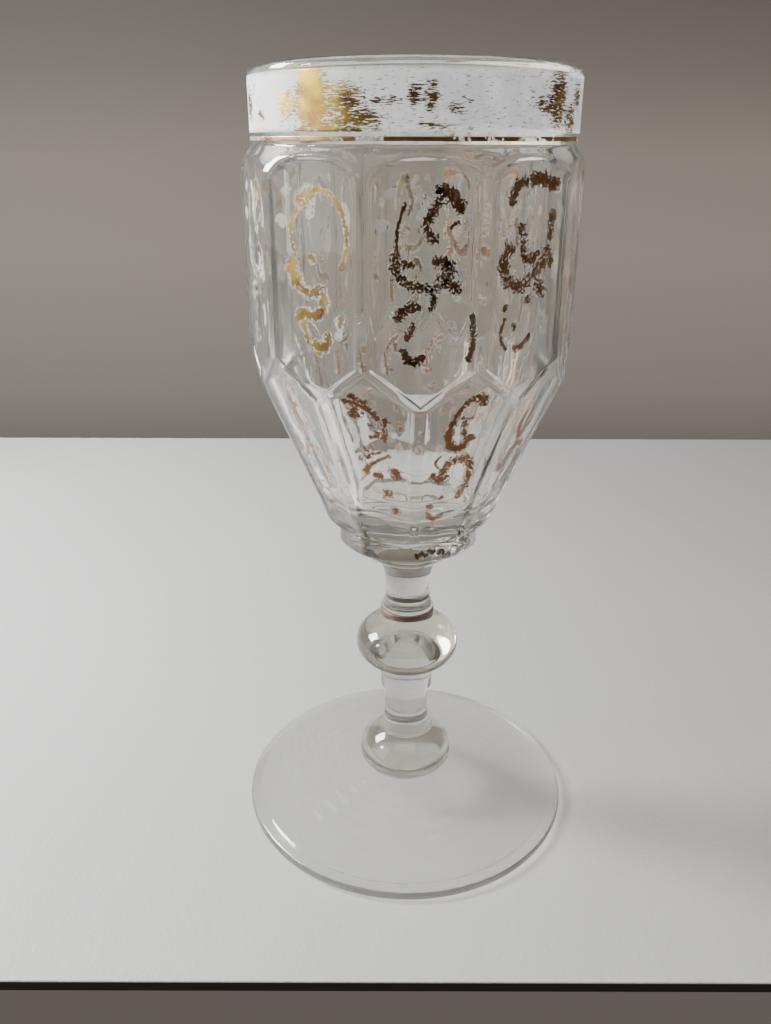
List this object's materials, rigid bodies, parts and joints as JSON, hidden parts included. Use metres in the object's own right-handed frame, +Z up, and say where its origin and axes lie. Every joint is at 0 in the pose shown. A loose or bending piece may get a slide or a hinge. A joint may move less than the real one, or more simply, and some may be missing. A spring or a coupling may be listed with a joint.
{
  "type": "wine glass",
  "caption": "Stemmed wine glass: panelled thick-walled bowl, faceted collar, knopped stem, broad flat foot, worn gilt scrolls and rim band.",
  "frame": {"origin": "on the axis of the glass, at the level of the table it stands on", "axes": "+Z up along the axis of the glass, -Y out of the middle of one upper panel, which is the front"},
  "size_m": [0.0766, 0.0766, 0.1615],
  "materials": {
    "clear_glass": "fire-polished and cut clear glass with a faint straw tint",
    "gilding": "fired gilding, worn through in places"
  },
  "bodies": {
    "root": {"bowl": "clear_glass", "collar": "clear_glass", "upper_stem": "clear_glass", "knop": "clear_glass", "lower_stem": "clear_glass", "foot_knop": "clear_glass", "foot": "clear_glass", "rim_gilt_band": "gilding", "rim_gilt_line": "gilding", "collar_gilt": "gilding", "stem_gilt_ring": "gilding", "upper_scroll_1": "gilding", "upper_scroll_2": "gilding", "upper_scroll_3": "gilding", "upper_scroll_4": "gilding", "upper_scroll_5": "gilding", "upper_scroll_6": "gilding", "upper_scroll_7": "gilding", "upper_scroll_8": "gilding", "upper_scroll_9": "gilding", "upper_scroll_10": "gilding", "lower_scroll_1": "gilding", "lower_scroll_2": "gilding", "lower_scroll_3": "gilding", "lower_scroll_4": "gilding", "lower_scroll_5": "gilding", "lower_scroll_6": "gilding", "lower_scroll_7": "gilding", "lower_scroll_8": "gilding", "lower_scroll_9": "gilding", "lower_scroll_10": "gilding"}
  },
  "joints": []
}
